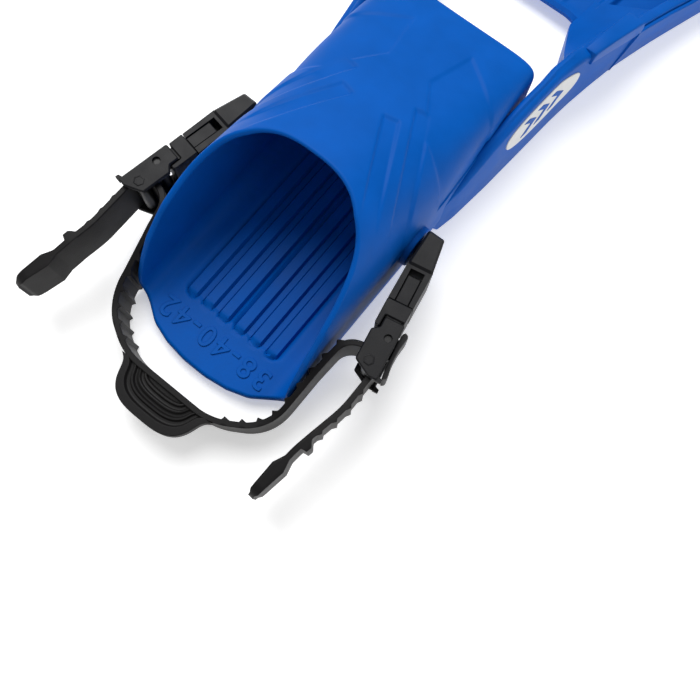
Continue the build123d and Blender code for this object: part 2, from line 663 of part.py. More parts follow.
def build():
    """All nodes of the fin by name."""
    nodes = {
        "foot_pocket": make_foot_pocket(),
        "blade": make_blade(),
        "heel_strap": make_heel_strap(),
    }
    pairs = {
        "edge_rail": make_edge_rail(),
        "stud": make_stud(),
        "anchor_clip": make_anchor_clip(),
        "buckle_frame": make_buckle_frame(),
        "upper_latch": make_latch(1),
        "lower_latch": make_latch(-1),
        "roller": make_roller(),
        "roller_pin": make_pin(ROLLER_PIN_S, ROLLER_PIN_T, 0.0),
        "lever": make_lever(),
        "lever_pin": make_pin(LEVER_PIN_S, LEVER_PIN_T, PIN_SINK),
        "lever_spring": make_lever_spring(),
    }
    for name, shape in pairs.items():
        nodes.update(both_sides(name, shape))
    return nodes


os.makedirs("parts", exist_ok=True)
for node, solid in build().items():
    export_step(solid, "parts/" + node + ".step")
    print(node, round(solid.volume), len(solid.solids()))
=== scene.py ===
"""Visual pieces of an open-heel swim fin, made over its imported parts.

+Y runs from heel to blade tip, +Z up from the floor, +X towards the wearer's right. Shapes are worked
out in millimetres and put into the meshes in metres.
"""
import json
from math import cos, pi, radians, sin, tan

import bmesh
import bpy
import numpy as np
from mathutils import Matrix, Vector


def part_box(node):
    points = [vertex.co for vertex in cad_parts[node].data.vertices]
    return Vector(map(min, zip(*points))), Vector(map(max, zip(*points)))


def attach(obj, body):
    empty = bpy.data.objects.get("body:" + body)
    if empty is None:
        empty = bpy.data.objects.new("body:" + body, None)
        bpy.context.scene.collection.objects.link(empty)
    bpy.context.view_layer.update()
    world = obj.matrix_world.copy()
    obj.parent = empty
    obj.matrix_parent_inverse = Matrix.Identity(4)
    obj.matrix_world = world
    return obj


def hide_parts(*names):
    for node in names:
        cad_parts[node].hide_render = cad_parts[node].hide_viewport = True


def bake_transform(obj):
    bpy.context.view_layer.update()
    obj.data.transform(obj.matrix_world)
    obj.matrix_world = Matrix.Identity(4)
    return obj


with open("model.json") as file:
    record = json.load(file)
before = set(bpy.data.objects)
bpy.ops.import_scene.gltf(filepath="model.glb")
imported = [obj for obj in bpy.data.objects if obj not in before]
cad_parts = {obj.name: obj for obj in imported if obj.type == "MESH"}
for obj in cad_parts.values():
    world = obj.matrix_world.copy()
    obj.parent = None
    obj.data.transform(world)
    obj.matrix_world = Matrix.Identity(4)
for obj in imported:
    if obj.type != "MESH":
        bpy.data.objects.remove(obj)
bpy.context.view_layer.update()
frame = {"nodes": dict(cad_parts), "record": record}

bl_info = {
    "name": "Swim fin pieces",
    "version": (1, 0, 0),
    "blender": (4, 5, 0),
    "location": "3D View > Sidebar > Swim fin",
    "description": "Foot pocket, blade, strap and finishes of an open-heel swim fin",
    "category": "Object",
}

MM = 0.001
SIDES = {"right": 1, "left": -1}


def corners_of(node):
    """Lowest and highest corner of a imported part, in millimetres."""
    low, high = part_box(node)
    return np.array(low) / MM, np.array(high) / MM


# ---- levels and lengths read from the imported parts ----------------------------
POCKET_LOW = corners_of("foot_pocket")[0]
STRAP_LOW = corners_of("heel_strap")[0]
STUD_LOW, STUD_HIGH = corners_of("right_stud")
ROLLER_LOW, ROLLER_HIGH = corners_of("right_roller")
STUD_Y = (STUD_LOW[1] + STUD_HIGH[1]) / 2
STUD_Z = (STUD_LOW[2] + STUD_HIGH[2]) / 2
ROLLER_X, ROLLER_Y = ((ROLLER_LOW + ROLLER_HIGH) / 2)[:2]
ROLLER_R = (ROLLER_HIGH[0] - ROLLER_LOW[0]) / 2
LEVER_PIN_X, LEVER_PIN_Y = (sum(corners_of("right_lever_pin")) / 2)[:2]
CHEEK_TOP = corners_of("right_buckle_frame")[1][2]
HEEL_Y = POCKET_LOW[1]

# ---- foot pocket ---------------------------------------------------------------
HALF_WIDTH = 50.0
TOE_HALF_WIDTH = 45.8
FOOTBED_Z = 9.0
SOLE_Z = 3.5
SHOULDER_Z = 34.0
INSTEP_Z = 84.0
TOE_Z = 53.0
RIM_TOP_Y = 76.0
TOE_Y = 190.0
ARM_START = 110.0
SOLE_CORNER = 12.0
DOME_POWER = 2.7
TOE_POWER = 6.5
RIB_PITCH = 10.64
RIB_HALF = 3.3
POCKET_WALL = 3.0
TREAD_PITCH = 24.0
TREAD_HALF_WIDTH = 36.0
NUMERALS_Y = -10.6
NUMERAL_SCALE = 1.38
SOFT_KERNEL = np.hanning(9) / np.hanning(9).sum()

# ---- side arms and blade ---------------------------------------------------------
ARM_WALL = 12.0
MARKER_CENTRE = (188.0, 31.0)
MARKER_SIZE = (57.0, 22.0)
MARKER_POWER = 2.6
BAR_PLACES = (171.5, 182.5, 193.5)
BEAM_START = 255.5
BLADE_EDGE_ROOM = 4.5
PANEL_TOP = 11.2
PANEL_BOTTOM = 8.0
TIP_Y = 498.0

# ---- strap and buckles -----------------------------------------------------------
STRAP_HEIGHT = 22.0
STRAP_HALF_THICKNESS = 1.5
ROUTE_STEP = 0.45
LUG_HEIGHT = 2.8
HEEL_LOOP_Y = STRAP_LOW[1] + 20.5
BUCKLE_TURN = radians(11.0)
LEVER_HALF = 8.8
HUB_R = 3.0

# ---- studio: metres, radians ----------------------------------------------------
CAMERA_PLACE = (0.10349, -0.04077, 0.35809)
CAMERA_TURN = (radians(34.226), radians(76.459), radians(4.415))
MAIN_LAMP_PLACE = (-0.40, 0.45, 0.95)
MAIN_LAMP_SIZE = 0.9
FILL_LAMP_PLACE = (0.85, 0.15, 0.60)
FILL_LAMP_SIZE = 0.8
FILL_SHARE = 0.22
LAMP_AIM = (0.0, 0.1, 0.03)


# ---- plain helpers ------------------------------------------------------------
def linear(code):
    """Linear colour of an sRGB hex value."""
    parts = [int(code[i:i + 2], 16) / 255 for i in (1, 3, 5)]
    return tuple(p / 12.92 if p <= 0.04045 else ((p + 0.055) / 1.055) ** 2.4 for p in parts)


def ease(value):
    """Smooth step from 0 to 1: three times the square less twice the cube."""
    t = np.clip(value, 0.0, 1.0)
    return t * t * (3 - 2 * t)


def grid_faces(rows, cols, closed_rows=False, closed_cols=False, first=0):
    """Quads over a grid of points stored row by row, joined round where told."""
    r, c = np.meshgrid(
        np.arange(rows if closed_rows else rows - 1),
        np.arange(cols if closed_cols else cols - 1),
        indexing="ij",
    )
    r2 = (r + 1) % rows
    c2 = (c + 1) % cols
    quads = np.stack([r * cols + c, r * cols + c2, r2 * cols + c2, r2 * cols + c], -1)
    return first + quads.reshape(-1, 4)


def make_piece(name, points, faces, material, body, slot, sharp=35.0):
    """Closed mesh from points in millimetres, doubles merged, faces turned outwards, on a body."""
    mesh = bpy.data.meshes.new(name)
    count = len(faces)
    mesh.vertices.add(len(points))
    mesh.vertices.foreach_set("co", (np.asarray(points) * MM).astype(np.float32).ravel())
    mesh.loops.add(count * 4)
    mesh.loops.foreach_set("vertex_index", faces.astype(np.int32).ravel())
    mesh.polygons.add(count)
    mesh.polygons.foreach_set("loop_start", np.arange(count, dtype=np.int32) * 4)
    mesh.update(calc_edges=True)
    mesh.validate()
    build = bmesh.new()
    build.from_mesh(mesh)
    bmesh.ops.remove_doubles(build, verts=build.verts, dist=2e-6)
    bmesh.ops.recalc_face_normals(build, faces=build.faces)
    build.to_mesh(mesh)
    build.free()
    mesh.shade_smooth()
    mesh.set_sharp_from_angle(angle=radians(sharp))
    mesh.materials.append(material)
    piece = bpy.data.objects.new(name, mesh)
    bpy.context.scene.collection.objects.link(piece)
    if body:
        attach(piece, body)
    return piece


def tube(grid):
    """Points and quads of a tube whose rows are closed loops, with both ends drawn in to a point."""
    ends = [np.repeat(grid[i].mean(0)[None, None], grid.shape[1], 1) for i in (0, -1)]
    full = np.concatenate([ends[0], grid, ends[1]])
    return full.reshape(-1, 3), grid_faces(full.shape[0], full.shape[1], closed_cols=True)


def plate(top, bottom):
    """Points and quads of a closed plate between two like grids, joined along their four edges."""
    rows, cols = top.shape[:2]
    index = np.arange(rows * cols).reshape(rows, cols)
    rim = np.concatenate([index[0, :-1], index[:-1, -1], index[-1, :0:-1], index[:0:-1, 0]])
    size = rows * cols
    nxt = np.roll(rim, -1)
    side = np.stack([rim, nxt, nxt + size, rim + size], -1)
    faces = np.concatenate([grid_faces(rows, cols), grid_faces(rows, cols, first=size), side])
    return np.concatenate([top.reshape(-1, 3), bottom.reshape(-1, 3)]), faces


def several(parts):
    """Points and quads of several closed shapes put together."""
    points, faces, first = [], [], 0
    for some_points, some_faces in parts:
        points.append(some_points)
        faces.append(some_faces + first)
        first += len(some_points)
    return np.concatenate(points), np.concatenate(faces)


def mirrored(points, side):
    """Points for the right side, or their mirror image in the middle plane."""
    return points * np.array([side, 1, 1])


def rounded_route(points, radii, step):
    """Points every step along straight runs joined by tangent arcs.

    At a corner the arc starts radius times the tangent of half the turn before it, and turns about a
    centre square to the run.
    """
    parts = [points[:1]]
    for before, here, after, radius in zip(points[:-2], points[1:-1], points[2:], radii):
        run = (here - before) / np.linalg.norm(here - before)
        out = (after - here) / np.linalg.norm(after - here)
        turn = np.arctan2(run[0] * out[1] - run[1] * out[0], run @ out)
        square = np.array([-run[1], run[0]]) * np.sign(turn)
        start = here - run * radius * abs(tan(turn / 2))
        swept = np.linspace(0, turn, 40)[:, None]
        arm = -square * radius
        turned = np.cos(swept) * arm + np.sin(swept) * np.array([-arm[1], arm[0]])
        parts.append(start + square * radius + turned)
    parts.append(points[-1:])
    route = np.concatenate(parts)
    length = np.concatenate([[0], np.cumsum(np.linalg.norm(np.diff(route, axis=0), axis=1))])
    at = np.linspace(0, length[-1], int(length[-1] / step) + 1)
    return np.stack([np.interp(at, length, route[:, k]) for k in (0, 1)], 1), at


def inside_distance(x, y, corners):
    """How deep a point lies inside a convex anticlockwise outline: the least distance to its sides."""
    depth = np.full(np.shape(x), 1e9)
    for (x0, y0), (x1, y1) in zip(corners, np.roll(corners, -1, axis=0)):
        size = np.hypot(x1 - x0, y1 - y0)
        depth = np.minimum(depth, ((x1 - x0) * (y - y0) - (y1 - y0) * (x - x0)) / size)
    return depth


# ---- materials ------------------------------------------------------------------
def add_node(tree, kind, settings=None, inputs=None):
    """Add a node, set its own settings, and fill or link its inputs."""
    node = tree.nodes.new(kind)
    for key, value in (settings or {}).items():
        setattr(node, key, value)
    for socket, value in (inputs or {}).items():
        if isinstance(value, bpy.types.NodeSocket):
            tree.links.new(value, node.inputs[socket])
        else:
            node.inputs[socket].default_value = value
    return node


def moulded(name, light, dark, rough, grain, depth, cloud=18.0, sheen=0.0, tint="#ffffff", shine=0.25):
    """Moulded finish: two close colours in soft clouds, and a fine grain in roughness and height.

    grain and cloud are the widths of one grain and one cloud in millimetres; shine is the strength of
    the clear reflection. A real etched or sparked mould leaves grains of about 0.1 mm, too fine to
    show, so they are drawn several times coarser.
    """
    material = bpy.data.materials.new(name)
    material.use_nodes = True
    tree = material.node_tree
    tree.nodes.clear()
    place = add_node(tree, "ShaderNodeTexCoord").outputs["Object"]
    clouds = add_node(tree, "ShaderNodeTexNoise", inputs={
        "Vector": place, "Scale": 1 / (cloud * MM), "Detail": 3.0, "Roughness": 0.55})
    grains = add_node(tree, "ShaderNodeTexNoise", inputs={
        "Vector": place, "Scale": 1 / (grain * MM), "Detail": 2.0, "Roughness": 0.6})
    colour = add_node(tree, "ShaderNodeMix", {"data_type": "RGBA"}, {
        0: clouds.outputs["Fac"], 6: (*dark, 1.0), 7: (*light, 1.0)})
    gloss = add_node(tree, "ShaderNodeMapRange", inputs={
        "Value": clouds.outputs["Fac"], "From Min": 0.3, "From Max": 0.7,
        "To Min": rough - 0.05, "To Max": rough + 0.05})
    bump = add_node(tree, "ShaderNodeBump", inputs={
        "Height": grains.outputs["Fac"], "Strength": 0.8, "Distance": depth * MM})
    shader = add_node(tree, "ShaderNodeBsdfPrincipled", inputs={
        "Base Color": colour.outputs[2], "Roughness": gloss.outputs["Result"],
        "Normal": bump.outputs["Normal"], "IOR": 1.5})
    shader.inputs["Specular IOR Level"].default_value = shine
    shader.inputs["Sheen Weight"].default_value = sheen
    shader.inputs["Sheen Roughness"].default_value = 0.45
    shader.inputs["Sheen Tint"].default_value = (*linear(tint), 1.0)
    add_node(tree, "ShaderNodeOutputMaterial", inputs={"Surface": shader.outputs["BSDF"]})
    return material


def drawn_steel():
    """Drawn stainless spring wire: bright, with drawing lines 3 mm apart, far coarser than the real ones."""
    material = bpy.data.materials.new("drawn_stainless_wire")
    material.use_nodes = True
    tree = material.node_tree
    tree.nodes.clear()
    place = add_node(tree, "ShaderNodeTexCoord").outputs["Object"]
    lines = add_node(tree, "ShaderNodeTexWave", {"bands_direction": "Z"}, {
        "Vector": place, "Scale": 1 / (3.0 * MM), "Distortion": 2.0})
    gloss = add_node(tree, "ShaderNodeMapRange", inputs={
        "Value": lines.outputs["Fac"], "To Min": 0.25, "To Max": 0.4})
    shader = add_node(tree, "ShaderNodeBsdfPrincipled", inputs={
        "Base Color": (*linear("#b9b9bc"), 1.0), "Metallic": 1.0, "Roughness": gloss.outputs["Result"]})
    add_node(tree, "ShaderNodeOutputMaterial", inputs={"Surface": shader.outputs["BSDF"]})
    return material


def finish(name):
    """The finish of that name, made the first time it is asked for."""
    if name in bpy.data.materials:
        return bpy.data.materials[name]
    looks = bpy.context.scene.fin_colours
    blue = tuple(looks.pocket_blue)
    black = tuple(looks.strap_black)
    grey = tuple(looks.buckle_grey)
    deep = tuple(0.72 * v for v in blue)
    if name == "moulded_blue_rubber":
        # thermoplastic rubber from a fine-etched mould: even colour, satin, with a trace of pale bloom
        return moulded(name, blue, deep, 0.46, 1.2, 0.05, sheen=0.02, tint="#a0c4ff", shine=0.07)
    if name == "moulded_blue_polypropylene":
        # blade plastic: the same blue, a little harder and glossier than the pocket
        return moulded(name, blue, deep, 0.40, 1.0, 0.04, sheen=0.02, tint="#a0c4ff", shine=0.09)
    if name == "moulded_black_rubber":
        # strap rubber: near black, satin to matt, with a trace of dusty bloom
        return moulded(name, black, tuple(0.6 * v for v in black), 0.5, 0.9, 0.07,
                       sheen=0.04, tint="#d8d0c8", shine=0.2)
    if name == "textured_grey_acetal":
        # spark-eroded mould texture: dark grey, satin, visible fine grain
        return moulded(name, grey, tuple(0.75 * v for v in grey), 0.46, 0.7, 0.06, cloud=9.0, shine=0.18)
    if name == "satin_black_acetal":
        # turned pins and rollers: smooth and a little glossier
        return moulded(name, tuple(0.6 * v for v in grey), tuple(0.4 * v for v in grey),
                       0.33, 0.6, 0.02, cloud=6.0)
    if name == "printed_white_ink":
        # pad-printed marker: flat white with slightly uneven cover
        return moulded(name, linear("#e6e6e4"), linear("#d2d3d4"), 0.5, 0.8, 0.03, cloud=5.0)
    return drawn_steel()


# ---- foot pocket shapes ---------------------------------------------------------
def crown(y):
    """Height of the pocket's top line: a straight fall from the rim to the toe."""
    return INSTEP_Z + (TOE_Z - INSTEP_Z) * (y - RIM_TOP_Y) / (TOE_Y - RIM_TOP_Y)


def dome_values(y, inset):
    """Half-width, rise and squareness of the arch at y."""
    share = np.clip((y - ARM_START) / (TOE_Y - ARM_START), 0, 1)
    half = HALF_WIDTH + (TOE_HALF_WIDTH - HALF_WIDTH) * share - inset
    power = DOME_POWER + (TOE_POWER - DOME_POWER) * share
    return half, crown(y) - SHOULDER_Z - inset, power


def rim_y(z):
    """Where the slanted rim stands at a height, read off its side curve."""
    heights = np.array([0.0, 11.2, 22, 33.0, 46.5, 56.6, 64.5, 72.0, 76.5, 90]) + FOOTBED_Z
    places = np.array([-11.0, -9.0, -3.2, 5.0, 20.0, 37.0, 51.0, 63.0, 76.0, 115])
    return np.interp(z, heights, places)


def heel_y(x):
    """Heel edge of the sole: a flat arc with two low corners."""
    outs = np.array([0, 7, 20, 31.5, 39.5, 46.5, 60])
    places = np.array([HEEL_Y, HEEL_Y, HEEL_Y + 1.8, -20.5, -15.0, -11.0, -9.0])
    return np.interp(np.abs(x), outs, places)


def section_marks():
    """Marks round the pocket's section: kind of run and share along it, right half then left half.

    Kinds are 0 sole, 1 bottom corner, 2 side and 3 arch. On the sole the marks crowd at the rib edges.
    """
    flat = HALF_WIDTH - SOLE_CORNER
    edges = np.array([-3.9, -3.5, -3.1, -2.6, 0, 2.6, 3.1, 3.5, 3.9])
    across = np.concatenate([RIB_PITCH * (k + 0.5) + edges for k in range(3)])
    sole = np.concatenate([[0.0], across, [32.5, 34.5, 36.5]]) / flat
    corner = np.arange(10) / 10
    side = np.arange(9) / 9
    arch = np.arange(105) / 104
    kinds = np.concatenate([np.full(len(v), k) for k, v in enumerate((sole, corner, side, arch))])
    shares = np.concatenate([sole, corner, side, arch])
    kinds = np.concatenate([kinds, kinds[-2:0:-1]])
    halves = np.concatenate([np.ones(len(shares)), -np.ones(len(shares) - 2)])
    shares = np.concatenate([shares, shares[-2:0:-1]])
    return kinds, shares, halves


def section_point(kinds, shares, halves, y, inset):
    """Pocket section at y: flat sole, quarter-circle corner, straight side, then an arch.

    The arch is |x/half|^p + |z/rise|^p = 1, run through by the angle seen from its centre.
    """
    half, rise, power = dome_values(y, inset)
    bottom = SOLE_Z if inset == 0 else FOOTBED_Z
    corner = SOLE_CORNER - inset
    flat = half - corner
    angle = shares * pi / 2
    reach = (np.abs(np.cos(angle)) ** power + np.abs(np.sin(angle)) ** power) ** (-1 / power)
    x = np.select(
        [kinds == 0, kinds == 1, kinds == 2],
        [shares * flat, flat + corner * np.sin(angle), half + 0 * y],
        half * reach * np.cos(angle),
    )
    z = np.select(
        [kinds == 0, kinds == 1, kinds == 2],
        [bottom + 0 * y, bottom + corner * (1 - np.cos(angle)),
         bottom + corner + shares * (SHOULDER_Z - bottom - corner)],
        SHOULDER_Z + rise * reach * np.sin(angle),
    )
    return np.stack([x * halves, y + 0 * x, z], -1)


def opening_edge(kinds, shares, halves):
    """Start of the wall for each mark: the heel edge under the footbed, the rim above it.

    On the arch the rim and the falling crown are met by halving the interval forty times.
    """
    low = np.full(len(kinds), -40.0)
    high = np.full(len(kinds), 130.0)
    for _ in range(40):
        middle = (low + high) / 2
        point = section_point(kinds, shares, halves, middle, 0.0)
        wanted = np.where(point[:, 2] < FOOTBED_Z, heel_y(point[:, 0]), rim_y(point[:, 2]))
        low = np.where(wanted > middle, middle, low)
        high = np.where(wanted > middle, high, middle)
    edge = (low + high) / 2
    smooth = np.convolve(np.concatenate([edge[-4:], edge, edge[:4]]), SOFT_KERNEL, "valid")
    return np.where((kinds == 1) | (kinds == 2), smooth, edge)


def wall_grid(inset, rows, crowd):
    """Grid of the outer or inner wall from opening to toe, rows closer together near the opening."""
    kinds, shares, halves = section_marks()
    start = opening_edge(kinds, shares, halves)
    along = np.linspace(0, 1, rows)[:, None] ** crowd
    y = start + (TOE_Y - start) * along
    return section_point(kinds, shares, halves, y, inset)


def grid_normals(grid, outwards):
    """Unit normals of a grid that is closed across its rows, from differences of neighbours."""
    across = np.roll(grid, -1, axis=1) - np.roll(grid, 1, axis=1)
    along = np.gradient(grid, axis=0)
    normal = np.cross(across, along)
    normal = normal / np.maximum(np.linalg.norm(normal, axis=-1, keepdims=True), 1e-9)
    return normal * outwards


def instep_relief(x, y, height):
    """Height of the instep's raised shapes: two slanted bars each side, and a flat facet at the toe."""
    ax = np.abs(x)
    relief = np.zeros_like(x)
    slope = np.array([0.454, -0.891])
    square = np.array([0.891, 0.454])
    for tip, length in (((12.0, 112.8), 58.0), ((20.5, 126.6), 66.0)):
        near = np.array(tip)
        far = near + slope * length
        corners = np.array([near + square * 4.2 + slope * 1.5, near - square * 4.2,
                            far - square * 4.2, far + square * 4.2])
        depth = inside_distance(ax, y, corners)
        relief = np.maximum(relief, height * ease(depth / 1.4 + 0.3))
    facet = np.array([(29, 115), (60, 100), (60, 141), (17.4, 172.4), (11.7, 143)])
    depth = inside_distance(ax, y, facet)
    return np.maximum(relief, 0.8 * height * ease(depth / 2.0 + 0.2))


def footbed_relief(x, y, height):
    """Height of the footbed's ribs: long bars with round ends, each in a shallow groove."""
    nearest = (np.floor(x / RIB_PITCH) + 0.5) * RIB_PITCH
    nearest = np.clip(nearest, -2.5 * RIB_PITCH, 2.5 * RIB_PITCH)
    back = np.minimum(y - RIB_HALF, 0)
    depth = RIB_HALF - np.hypot(x - nearest, back)
    rise = height * ease((depth + 0.1) / 0.9)
    groove = 1.5 * height * np.exp(-((depth + 0.3) / 0.45) ** 2)
    return rise - groove


def pocket_shell(relief, rib):
    """Closed shell: outer wall, rounded toe edge, inner wall and rounded rim, joined in one ring of rows."""
    outer = wall_grid(0.0, 150, 1.15)
    inner = wall_grid(POCKET_WALL, 130, 1.5)
    push = instep_relief(outer[..., 0], outer[..., 1], relief) * (outer[..., 2] > SHOULDER_Z + 4)
    outer = outer + grid_normals(outer, 1) * push[..., None] * ease((outer[..., 1] - 60) / 20)[..., None]
    kinds = section_marks()[0]
    ribs = footbed_relief(inner[..., 0], inner[..., 1], rib) * ((kinds == 0) & (np.abs(inner[..., 0]) < 33))
    inner[..., 2] += ribs
    rim = rounded_edge(inner[0], outer[0], inner[0] - inner[3])
    toe = rounded_edge(outer[-1], inner[-1], outer[-1] - outer[-3])
    full = np.concatenate([outer, toe, inner[::-1], rim])
    return full.reshape(-1, 3), grid_faces(full.shape[0], full.shape[1], closed_rows=True, closed_cols=True)


def rounded_edge(first, second, outwards):
    """Rows that carry a half circle from one edge line to the other, bulging outwards."""
    way = outwards / np.maximum(np.linalg.norm(outwards, axis=-1, keepdims=True), 1e-9)
    middle = (first + second) / 2
    arm = first - middle
    bulge = way * np.minimum(np.linalg.norm(arm, axis=-1, keepdims=True), 2.0)
    angles = np.linspace(0, pi, 9)[1:-1, None, None]
    return middle + arm * np.cos(angles) + bulge * np.sin(angles)


def arm_profile(y):
    """Outer face, inward lean and top line of the right arm, by straight runs between stations along Y."""
    outer = np.interp(y, [109, 110, 124, 150, 180, 205, 222, 240, 258],
                      [49.3, 49.4, 52.5, 55.5, 58, 60, 62, 65.0, 68.6])
    lean = np.interp(y, [109, 120, 150, 200, 224, 258], [0.2, 1.2, 2.2, 2.6, 0.0, -3.4])
    top = np.interp(y, [109, 110, 120, 130, 140, 150, 160, 170, 180, 216, 224, 258],
                    [25, 27, 31.5, 35.0, 38.0, 42.0, 44.0, 46.0, 47.0, 46.5, 43.5, 36.0])
    return outer, lean, top


def lean_share(z):
    """Share of the arm's lean at a height: none up to 5 mm, all of it from 45 mm."""
    return ease((z - 5) / 40)


def arm_grid(side):
    """One side arm: a rounded upright section carried along Y, pointed where it leaves the pocket."""
    y = np.concatenate([np.linspace(ARM_START - 1, 130, 30), np.linspace(131, 257.8, 90)])
    outer, lean, top = arm_profile(y)
    wall = np.interp(y, [109, 124, 140, 190, 210, 232, 258], [1.4, 6.5, 7.4, 6.8, 8.0, 10.0, ARM_WALL])
    top = np.convolve(np.pad(top, 4, mode="edge"), SOFT_KERNEL, "valid")
    outer = np.convolve(np.pad(outer, 4, mode="edge"), SOFT_KERNEL, "valid")
    corner = np.minimum(3.0, wall * 0.42)
    low = np.interp(y, [109, 113], [8.0, 0.2])[:, None]
    quarter = np.linspace(0, pi / 2, 7)
    turns = np.concatenate([quarter, quarter + pi / 2, quarter + pi, quarter + 1.5 * pi])
    cx = np.repeat([1, -1, -1, 1], 7)
    cz = np.repeat([1, 1, 0, 0], 7)
    size = np.where(cz == 1, 1.0, 0.35)
    half = (wall / 2)[:, None]
    r = corner[:, None] * size
    rise = 1.2 * ease((y - 135) / 30)[:, None] * (cx == -1)
    x = (outer - wall / 2)[:, None] + cx * (half - r) + r * np.cos(turns)
    z = np.where(cz == 1, top[:, None] + rise - r, low + r) + r * np.sin(turns)
    x = x - lean[:, None] * lean_share(z)
    grid = np.stack([x, np.repeat(y[:, None], 28, 1), z], -1)
    return tube(mirrored(grid, side))


def boss_grid(side):
    """Round boss behind the clip: a profile of radius against X turned about the stud's axis."""
    radius = np.array([11.0, 11.0, 10.6, 9.6, 5.0])
    out = np.array([47.5, 52.0, 52.8, 53.0, 53.0])
    angle = np.linspace(0, 2 * pi, 72, endpoint=False)
    x = np.repeat(out[:, None], 72, 1)
    y = STUD_Y + radius[:, None] * np.cos(angle)
    z = STUD_Z + radius[:, None] * np.sin(angle)
    return tube(mirrored(np.stack([x, y, z], -1), side))


def tread_bar(y):
    """One tread bar under the sole: a flat box with rounded lower edges."""
    x = np.linspace(-TREAD_HALF_WIDTH, TREAD_HALF_WIDTH, 25)
    across = np.array([-6, -6, -5.5, -4.6, 4.6, 5.5, 6, 6])
    low = np.array([SOLE_Z + 1, 1.0, 0.3, 0.0, 0.0, 0.3, 1.0, SOLE_Z + 1])
    grid = np.stack(np.broadcast_arrays(x[:, None], y + across, low), -1)
    return tube(grid)


def arm_surface_x(y, z):
    """Outer face of the right arm at a place along it and a height."""
    outer, lean, _ = arm_profile(y)
    return outer - lean * lean_share(z)


def marker(side, centre, size, lift):
    """Flat stadium-like patch on the arm's outer face: |a|^p + |b|^p = 1 rings drawn in to the centre."""
    angle = np.linspace(0, 2 * pi, 96, endpoint=False)
    power = MARKER_POWER
    reach = (np.abs(np.cos(angle)) ** power + np.abs(np.sin(angle)) ** power) ** (-1 / power)
    ring = np.array([1.0, 1.0, 0.985, 0.8, 0.5, 0.2])[:, None]
    out = np.array([-0.6, lift - 0.12, lift, lift, lift, lift])[:, None]
    y = centre[0] + size[0] / 2 * ring * reach * np.cos(angle)
    z = centre[1] + size[1] / 2 * ring * reach * np.sin(angle)
    grid = np.stack([arm_surface_x(y, z) + out, y, z], -1)
    return tube(mirrored(grid, side))


def chevron(side, y0, z0, reach, height, width, lift):
    """Slanted chevron bar on the marker: two arms that meet in a point towards the toe."""
    along = np.concatenate([np.linspace(-1, 0, 8), np.linspace(0, 1, 8)[1:]])
    z = z0 + height / 2 * along
    front = y0 + reach * (1 - np.abs(along))
    edge = np.stack([front, front + width], 1)
    zz = np.repeat(z[:, None], 2, 1)
    base = arm_surface_x(edge, zz)
    top = np.stack([base + lift, edge, zz], -1)
    bottom = np.stack([base - 0.5, edge, zz], -1)
    return plate(mirrored(top, side), mirrored(bottom, side))


# ---- blade shapes -------------------------------------------------------------------
def blade_edge(y):
    """Outer edge of the right rail against Y."""
    places = [258, 286, 320, 355, 395, 430, 470, 502, 512]
    outs = [72.5, 79.5, 90, 101.5, 107, 108, 106, 100, 97]
    smooth = np.interp(y, places, outs)
    wide = sum(np.interp(y + shift, places, outs) for shift in (-12, -6, 6, 12)) / 4
    return np.where((y > 272) & (y < 490), (smooth + wide) / 2, smooth)


def tip_y(x):
    """Scalloped tip: two shallow lobes with a notch in the middle."""
    across = np.clip(np.abs(x) / 100, 0, 1)
    return TIP_Y + 14 * np.sin(pi * np.clip(across * 0.93, 0, 1)) ** 0.9


def blade_panel(channel, share_count):
    """Blade panel: a grid across and along, its top raised along ribs that spread towards the tip."""
    across = np.linspace(-1, 1, 301)
    along = np.linspace(0, 1, 110)[:, None]
    edge_end = blade_edge(np.array(500.0)) - BLADE_EDGE_ROOM
    y_end = tip_y(across * edge_end)
    y_start = 262.0 - 4.0 * ease((np.abs(across) - 0.4) / 0.3)
    y = y_start + (y_end - y_start) * along
    half = blade_edge(y) - BLADE_EDGE_ROOM
    x = across * half
    rise = np.zeros_like(x)
    for share in np.linspace(-1, 1, share_count):
        line = share * (42 + (74 - 42) * (y - 268) / 192)
        width = 2.4 - 1.0 * (y - 268) / 192
        ends = ease((y - 266) / 8) * ease((462 - y) / 14)
        rise = np.maximum(rise, channel * ends * ease((width + 2.0 - np.abs(x - line)) / 3.0))
    root = 1.2 * np.exp(-((y - 263) / 3.0) ** 2)
    edge_round = -1.4 * ease((np.abs(along * 2 - 1) - 0.985) / 0.015)
    top = np.stack([x, y, PANEL_TOP + rise + root + edge_round], -1)
    bottom = np.stack([x, y, PANEL_BOTTOM - 0.5 * rise - edge_round * 0.5], -1)
    return plate(top, bottom)


def beam_top(y):
    """Top line of the side beams: high at the arm, low at the tip."""
    return np.interp(y, [258, 298, 512], [36.0, 27.5, 15.0])


def edge_tube(side, outer_step, inner_step, drop, corner, start):
    """Upright rounded section carried along the blade's edge, between two distances in from it."""
    y = np.linspace(start, 508, 150)
    edge = blade_edge(y)
    outer = edge - outer_step
    inner = edge - inner_step
    top = beam_top(y) - drop
    quarter = np.linspace(0, pi / 2, 6)
    turns = np.concatenate([quarter + k * pi / 2 for k in range(4)])
    cx = np.repeat([1, -1, -1, 1], 6)
    cz = np.repeat([1, 1, 0, 0], 6)
    half = ((outer - inner) / 2)[:, None]
    x = ((outer + inner) / 2)[:, None] + cx * (half - corner) + corner * np.cos(turns)
    z = np.where(cz == 1, top[:, None] - corner, 0.3 + corner) + corner * np.sin(turns)
    flare = np.interp(y, [258, 288, 324, 430], [4.0, 3.0, 2.0, 0.0])[:, None]
    x = x - flare * (1 - z / top[:, None])
    grid = np.stack([x, np.repeat(y[:, None], 24, 1), z], -1)
    return tube(mirrored(grid, side))


